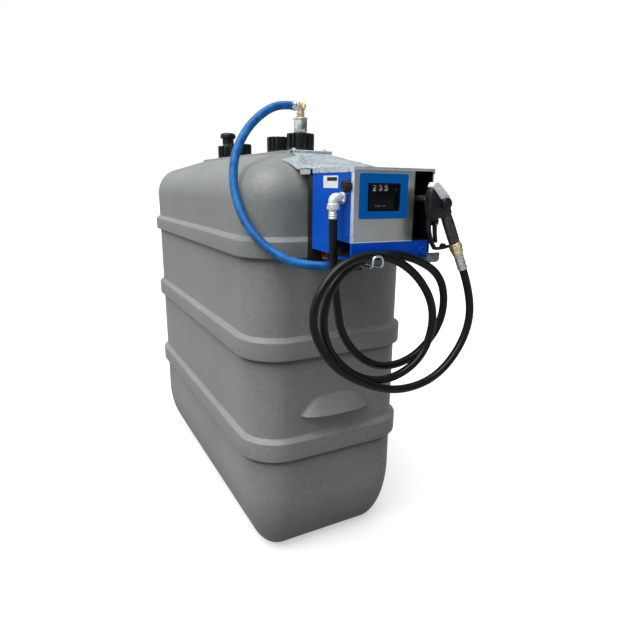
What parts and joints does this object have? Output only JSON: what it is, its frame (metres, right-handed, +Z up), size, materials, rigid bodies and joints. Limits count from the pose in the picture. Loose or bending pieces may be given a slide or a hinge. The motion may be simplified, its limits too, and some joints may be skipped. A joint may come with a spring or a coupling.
{
  "type": "bunded diesel fuel tank",
  "caption": "Moulded double-walled diesel tank with a domed roof, screw caps, and a pump dispenser with meter, coiled hose and nozzle hung on its front end.",
  "frame": {"origin": "centre of the flat base of the tank, on the ground", "axes": "+Z up, the front end with the dispenser at -Y, +X to the right of someone facing the front"},
  "size_m": [0.7767, 2.143, 1.92],
  "materials": {
    "grey_polyethylene": "moulded satin",
    "inner_polyethylene": "moulded satin",
    "black_plastic": "ribbed satin",
    "black_paint": "satin",
    "blue_paint": "powder coat",
    "dark_blue_paint": "powder coat",
    "blue_hose": "ribbed satin",
    "black_rubber": "satin",
    "galvanised_steel": "zinc dipped",
    "stainless_steel": "brushed",
    "plated_steel": "bright",
    "brass": "cast and turned",
    "meter_black": "gloss",
    "meter_blue": "printed foil",
    "label_white": "printed foil",
    "grey_cover": "satin"
  },
  "bodies": {
    "tank": {"bund_shell": "grey_polyethylene", "bund_roof": "grey_polyethylene", "inner_tank": "inner_polyethylene", "neck_flanges": "black_plastic", "suction_cap": "black_plastic", "fill_cap": "black_plastic", "dip_cap": "black_plastic", "vent_cap": "black_plastic", "vent_mushroom": "black_plastic", "suction_fitting": "plated_steel", "suction_elbow": "brass", "suction_ferrule": "plated_steel", "suction_hose": "blue_hose", "pump_inlet": "plated_steel", "bracket_plate": "galvanised_steel", "rear_plate": "black_paint", "dispenser_roof": "galvanised_steel", "side_panel_left": "blue_paint", "side_panel_right": "blue_paint", "front_panel": "stainless_steel", "apron": "dark_blue_paint", "meter_frame": "meter_blue", "meter_body": "meter_black", "label_plate": "label_white", "pump_body": "black_paint", "pump_motor": "black_paint", "outlet_elbow": "plated_steel", "union_ring": "plated_steel", "outlet_ferrule": "plated_steel", "delivery_hose": "black_rubber", "nozzle_ferrule": "plated_steel", "nozzle_swivel": "brass", "nozzle_body": "black_plastic", "nozzle_cover": "grey_cover", "nozzle_cap": "black_plastic", "nozzle_grip": "black_plastic", "nozzle_spout": "plated_steel", "nozzle_guard": "black_plastic", "nozzle_boot": "black_plastic", "hose_hook": "galvanised_steel", "nozzle_rest": "galvanised_steel"},
    "meter_reset": {"reset_knob": "black_plastic"},
    "lever": {"nozzle_lever": "black_plastic"}
  },
  "joints": [
    {"name": "reset_turn", "type": "hinge", "parent": "tank", "child": "meter_reset", "pos_m": [-0.157, -1.158, 1.578], "axis": [-1, 0, 0], "continuous": true},
    {"name": "lever_squeeze", "type": "hinge", "parent": "tank", "child": "lever", "pos_m": [0.124, -1.24, 1.46], "axis": [0, -1, 0], "range_deg": [0, 18], "stiffness_Nm_per_rad": 0.8, "springref_deg": -17.19}
  ]
}
